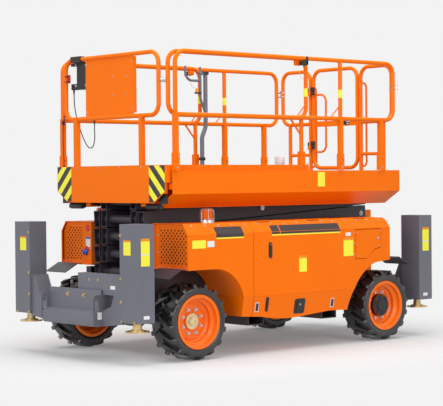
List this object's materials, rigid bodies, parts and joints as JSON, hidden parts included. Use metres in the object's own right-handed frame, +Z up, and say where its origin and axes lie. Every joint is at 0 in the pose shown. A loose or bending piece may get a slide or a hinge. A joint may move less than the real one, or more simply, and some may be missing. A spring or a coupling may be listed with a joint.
{
  "type": "rough-terrain scissor lift",
  "caption": "Rough-terrain scissor lift with a folded arm stack, a railed roll-out deck, bar-lug tyres and levelling outriggers.",
  "frame": {"origin": "on the ground, midway between the axles and between the two sides", "axes": "+X to the steering end, +Y to the machine's left, +Z up"},
  "size_m": [3.748, 1.807, 2.616],
  "materials": {
    "orange_paint": "gloss",
    "rim_paint": "gloss",
    "charcoal_paint": "satin",
    "grey_paint": "satin",
    "zinc": "zinc plated",
    "tyre": "matte",
    "amber": "clear amber",
    "deck_plate": "chequer plate",
    "black_plastic": "matte",
    "dark_plastic": "matte",
    "chrome": "hard chrome",
    "cable": "matte"
  },
  "bodies": {
    "chassis": {"chassis_frame": "charcoal_paint", "cross_members": "charcoal_paint", "fork_pockets": "charcoal_paint", "roller_tracks": "charcoal_paint", "axles": "charcoal_paint", "end_beams": "grey_paint", "outrigger_boxes": "grey_paint", "side_modules": "orange_paint", "grilles": "orange_paint", "engine_block": "charcoal_paint", "beacons": "amber", "fender_plates": "charcoal_paint", "ladder": "orange_paint"},
    "knuckle_left": {"knuckle_left": "charcoal_paint"},
    "knuckle_right": {"knuckle_right": "charcoal_paint"},
    "tie_rod": {"tie_rod": "charcoal_paint"},
    "cover_left": {"side_cover_left": "orange_paint"},
    "cover_right": {"side_cover_right": "orange_paint"},
    "access_door": {"access_door": "orange_paint"},
    "platform": {"platform_frame": "orange_paint", "deck_sides": "orange_paint", "platform_floor": "deck_plate", "rails_main": "orange_paint", "rails_rear": "orange_paint", "deck_rollers": "black_plastic"},
    "gate": {"gate": "orange_paint"},
    "extension": {"extension_frame": "orange_paint", "extension_floor": "deck_plate", "rail_front": "orange_paint", "rails_extension": "orange_paint", "control_box": "black_plastic", "document_box": "dark_plastic", "push_handle": "grey_paint", "control_cord": "cable", "post_cable": "cable"},
    "wheel_front_left": {"tyre_front_left": "tyre", "rim_front_left": "rim_paint"},
    "outrigger_front_left": {"outrigger_leg_front_left": "zinc"},
    "wheel_front_right": {"tyre_front_right": "tyre", "rim_front_right": "rim_paint"},
    "outrigger_front_right": {"outrigger_leg_front_right": "zinc"},
    "wheel_rear_left": {"tyre_rear_left": "tyre", "rim_rear_left": "rim_paint"},
    "outrigger_rear_left": {"outrigger_leg_rear_left": "zinc"},
    "wheel_rear_right": {"tyre_rear_right": "tyre", "rim_rear_right": "rim_paint"},
    "outrigger_rear_right": {"outrigger_leg_rear_right": "zinc"},
    "inner_1": {"arm_inner_1": "charcoal_paint"},
    "outer_1": {"arm_outer_1": "charcoal_paint"},
    "inner_2": {"arm_inner_2": "charcoal_paint"},
    "outer_2": {"arm_outer_2": "charcoal_paint"},
    "inner_3": {"arm_inner_3": "charcoal_paint"},
    "outer_3": {"arm_outer_3": "charcoal_paint"},
    "inner_4": {"arm_inner_4": "charcoal_paint"},
    "outer_4": {"arm_outer_4": "charcoal_paint"},
    "barrel_1": {"lift_barrel_1": "charcoal_paint"},
    "piston_1": {"lift_rod_1": "chrome"},
    "barrel_2": {"lift_barrel_2": "charcoal_paint"},
    "piston_2": {"lift_rod_2": "chrome"}
  },
  "joints": [
    {"name": "lift", "type": "hinge", "parent": "chassis", "child": "inner_1", "pos_m": [-1.37, 0, 0.711], "axis": [0, -1, 0], "range_deg": [0, 57.2]},
    {"name": "cross_1", "type": "hinge", "parent": "inner_1", "child": "outer_1", "pos_m": [-0.06229, 0, 0.7885], "axis": [0, -1, 0], "range_deg": [-114.6, 0]},
    {"name": "rear_pin_1", "type": "hinge", "parent": "outer_1", "child": "inner_2", "pos_m": [-1.37, 0, 0.866], "axis": [0, -1, 0], "range_deg": [0, 114.6]},
    {"name": "cross_2", "type": "hinge", "parent": "inner_2", "child": "outer_2", "pos_m": [-0.06229, 0, 0.9435], "axis": [0, -1, 0], "range_deg": [-114.6, 0]},
    {"name": "rear_pin_2", "type": "hinge", "parent": "outer_2", "child": "inner_3", "pos_m": [-1.37, 0, 1.021], "axis": [0, -1, 0], "range_deg": [0, 114.6]},
    {"name": "cross_3", "type": "hinge", "parent": "inner_3", "child": "outer_3", "pos_m": [-0.06229, 0, 1.0985], "axis": [0, -1, 0], "range_deg": [-114.6, 0]},
    {"name": "rear_pin_3", "type": "hinge", "parent": "outer_3", "child": "inner_4", "pos_m": [-1.37, 0, 1.176], "axis": [0, -1, 0], "range_deg": [0, 114.6]},
    {"name": "cross_4", "type": "hinge", "parent": "inner_4", "child": "outer_4", "pos_m": [-0.06229, 0, 1.2535], "axis": [0, -1, 0], "range_deg": [-114.6, 0]},
    {"name": "platform_pin", "type": "hinge", "parent": "outer_4", "child": "platform", "pos_m": [-1.37, 0, 1.331], "axis": [0, -1, 0], "range_deg": [0, 57.3]},
    {"name": "cylinder_swing_1", "type": "hinge", "parent": "inner_1", "child": "barrel_1", "pos_m": [0.37694, 0, 0.81453], "axis": [0, -1, 0], "range_deg": [-124.61, 0]},
    {"name": "cylinder_stroke_1", "type": "slide", "parent": "barrel_1", "child": "piston_1", "axis": [-0.9936, 0, 0.1125], "range_m": [0, 0.66]},
    {"name": "cylinder_swing_2", "type": "hinge", "parent": "inner_3", "child": "barrel_2", "pos_m": [0.37694, 0, 1.12453], "axis": [0, -1, 0], "range_deg": [-124.61, 0]},
    {"name": "cylinder_stroke_2", "type": "slide", "parent": "barrel_2", "child": "piston_2", "axis": [-0.9936, 0, 0.1125], "range_m": [0, 0.66]},
    {"name": "roll_out", "type": "slide", "parent": "platform", "child": "extension", "axis": [1, 0, 0], "range_m": [0, 1.2]},
    {"name": "gate_swing", "type": "hinge", "parent": "platform", "child": "gate", "pos_m": [-1.355, -0.3225, 2.1], "axis": [0, 0, -1], "range_deg": [0, 85]},
    {"name": "steer_left", "type": "hinge", "parent": "chassis", "child": "knuckle_left", "pos_m": [1.145, 0.555, 0.325], "axis": [0, 0, 1], "range_deg": [-35, 35]},
    {"name": "steer_right", "type": "hinge", "parent": "chassis", "child": "knuckle_right", "pos_m": [1.145, -0.555, 0.325], "axis": [0, 0, 1], "range_deg": [-35, 35]},
    {"name": "tie_rod_left", "type": "hinge", "parent": "knuckle_left", "child": "tie_rod", "pos_m": [0.995, 0.555, 0.318], "axis": [0, 0, 1], "range_deg": [-35.1, 35.1]},
    {"name": "wheel_front_left_spin", "type": "hinge", "parent": "knuckle_left", "child": "wheel_front_left", "pos_m": [1.145, 0.74, 0.325], "axis": [0, 1, 0], "continuous": true},
    {"name": "wheel_front_right_spin", "type": "hinge", "parent": "knuckle_right", "child": "wheel_front_right", "pos_m": [1.145, -0.74, 0.325], "axis": [0, 1, 0], "continuous": true},
    {"name": "wheel_rear_left_spin", "type": "hinge", "parent": "chassis", "child": "wheel_rear_left", "pos_m": [-1.145, 0.74, 0.325], "axis": [0, 1, 0], "continuous": true},
    {"name": "wheel_rear_right_spin", "type": "hinge", "parent": "chassis", "child": "wheel_rear_right", "pos_m": [-1.145, -0.74, 0.325], "axis": [0, 1, 0], "continuous": true},
    {"name": "outrigger_front_left_leg", "type": "slide", "parent": "chassis", "child": "outrigger_front_left", "axis": [0, 0, -1], "range_m": [0, 0.4]},
    {"name": "outrigger_front_right_leg", "type": "slide", "parent": "chassis", "child": "outrigger_front_right", "axis": [0, 0, -1], "range_m": [0, 0.4]},
    {"name": "outrigger_rear_left_leg", "type": "slide", "parent": "chassis", "child": "outrigger_rear_left", "axis": [0, 0, -1], "range_m": [0, 0.4]},
    {"name": "outrigger_rear_right_leg", "type": "slide", "parent": "chassis", "child": "outrigger_rear_right", "axis": [0, 0, -1], "range_m": [0, 0.4]},
    {"name": "cover_left_lift", "type": "hinge", "parent": "chassis", "child": "cover_left", "pos_m": [0, 0.829, 1.147], "axis": [1, 0, 0], "range_deg": [0, 80]},
    {"name": "cover_right_lift", "type": "hinge", "parent": "chassis", "child": "cover_right", "pos_m": [0, -0.829, 1.147], "axis": [-1, 0, 0], "range_deg": [0, 80]},
    {"name": "access_door_swing", "type": "hinge", "parent": "cover_left", "child": "access_door", "pos_m": [-0.728, 0.902, 0.91], "axis": [0, 0, -1], "range_deg": [0, 110]}
  ],
  "couplings": [
    {"joint": "cross_1", "follows": "lift", "ratio": -2},
    {"joint": "rear_pin_1", "follows": "lift", "ratio": 2},
    {"joint": "cross_2", "follows": "lift", "ratio": -2},
    {"joint": "rear_pin_2", "follows": "lift", "ratio": 2},
    {"joint": "cross_3", "follows": "lift", "ratio": -2},
    {"joint": "rear_pin_3", "follows": "lift", "ratio": 2},
    {"joint": "cross_4", "follows": "lift", "ratio": -2},
    {"joint": "platform_pin", "follows": "lift", "ratio": 1},
    {"joint": "cylinder_swing_1", "follows": "lift", "ratio": -2.1732},
    {"joint": "cylinder_stroke_1", "follows": "lift", "m_per_rad": 0.65911},
    {"joint": "cylinder_swing_2", "follows": "lift", "ratio": -2.1732},
    {"joint": "cylinder_stroke_2", "follows": "lift", "m_per_rad": 0.65911},
    {"joint": "steer_right", "follows": "steer_left", "ratio": 1},
    {"joint": "tie_rod_left", "follows": "steer_left", "ratio": -1}
  ]
}
